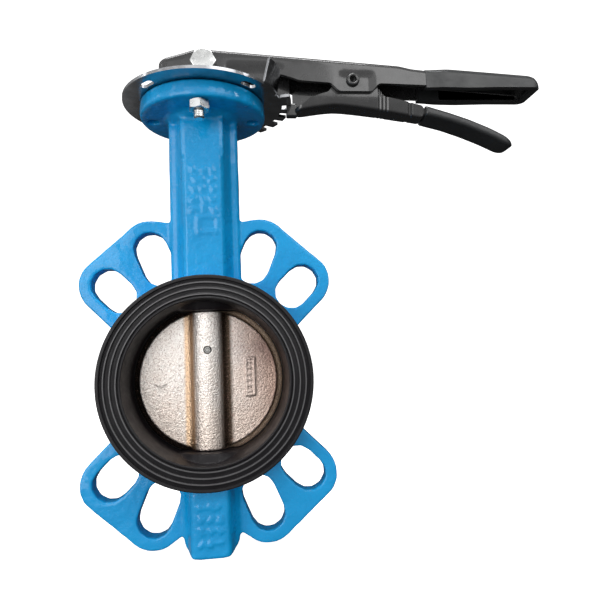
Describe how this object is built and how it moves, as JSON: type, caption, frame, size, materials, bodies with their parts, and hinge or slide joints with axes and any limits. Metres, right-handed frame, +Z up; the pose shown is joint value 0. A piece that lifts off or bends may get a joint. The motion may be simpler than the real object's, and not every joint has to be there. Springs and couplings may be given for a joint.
{
  "type": "butterfly valve",
  "caption": "Wafer butterfly valve: slotted-ear body, ribbed rubber seat, disc on a stem, notched position plate and a lever with a squeeze trigger.",
  "frame": {"origin": "where the bore's axis crosses the stem's axis, at the middle of the valve between its two pipe flanges", "axes": "+Y along the bore, downstream; +Z up the stem to the lever; +X the way the lever points when the valve is shut"},
  "size_m": [0.2706, 0.0964, 0.2796],
  "materials": {
    "blue_enamel": "glossy",
    "seat_rubber": "satin",
    "seal_rubber": "satin",
    "bearing_bronze": "satin",
    "zinc_plate": "satin",
    "zinc_fastener": "bright",
    "stainless_steel": "satin",
    "cast_disc": "cast",
    "black_paint": "glossy",
    "black_grip": "glossy",
    "spring_steel": "satin"
  },
  "bodies": {
    "valve_body": {"body_casting": "blue_enamel", "seat_liner": "seat_rubber", "lower_bush": "bearing_bronze", "middle_bush": "bearing_bronze", "upper_bush": "bearing_bronze", "lower_seal_ring": "seal_rubber", "upper_seal_ring": "seal_rubber", "stem_retaining_ring": "bearing_bronze", "position_plate": "zinc_plate", "plate_washer_front": "zinc_fastener", "plate_bolt_front": "zinc_fastener", "plate_nut_front": "zinc_fastener", "plate_washer_back": "zinc_fastener", "plate_bolt_back": "zinc_fastener", "plate_nut_back": "zinc_fastener"},
    "stem_and_lever": {"stem": "stainless_steel", "disc": "cast_disc", "disc_pin": "stainless_steel", "lever": "black_paint", "lever_grip": "black_grip", "lever_socket": "black_paint", "clamp_bolt": "zinc_fastener", "clamp_washer": "zinc_fastener", "clamp_nut": "zinc_fastener", "pivot_rivet": "black_paint", "trigger_spring": "spring_steel"},
    "trigger_arm": {"trigger": "black_paint", "trigger_grip": "black_grip"}
  },
  "joints": [
    {"name": "stem_turn", "type": "hinge", "parent": "valve_body", "child": "stem_and_lever", "pos_m": [0, 0, 0], "axis": [0, 0, 1], "range_deg": [0, 90]},
    {"name": "trigger_squeeze", "type": "hinge", "parent": "stem_and_lever", "child": "trigger_arm", "pos_m": [0.0872, 0, 0.1697], "axis": [0, -1, 0], "range_deg": [-4, 10], "stiffness_Nm_per_rad": 4, "springref_deg": 0.57}
  ]
}
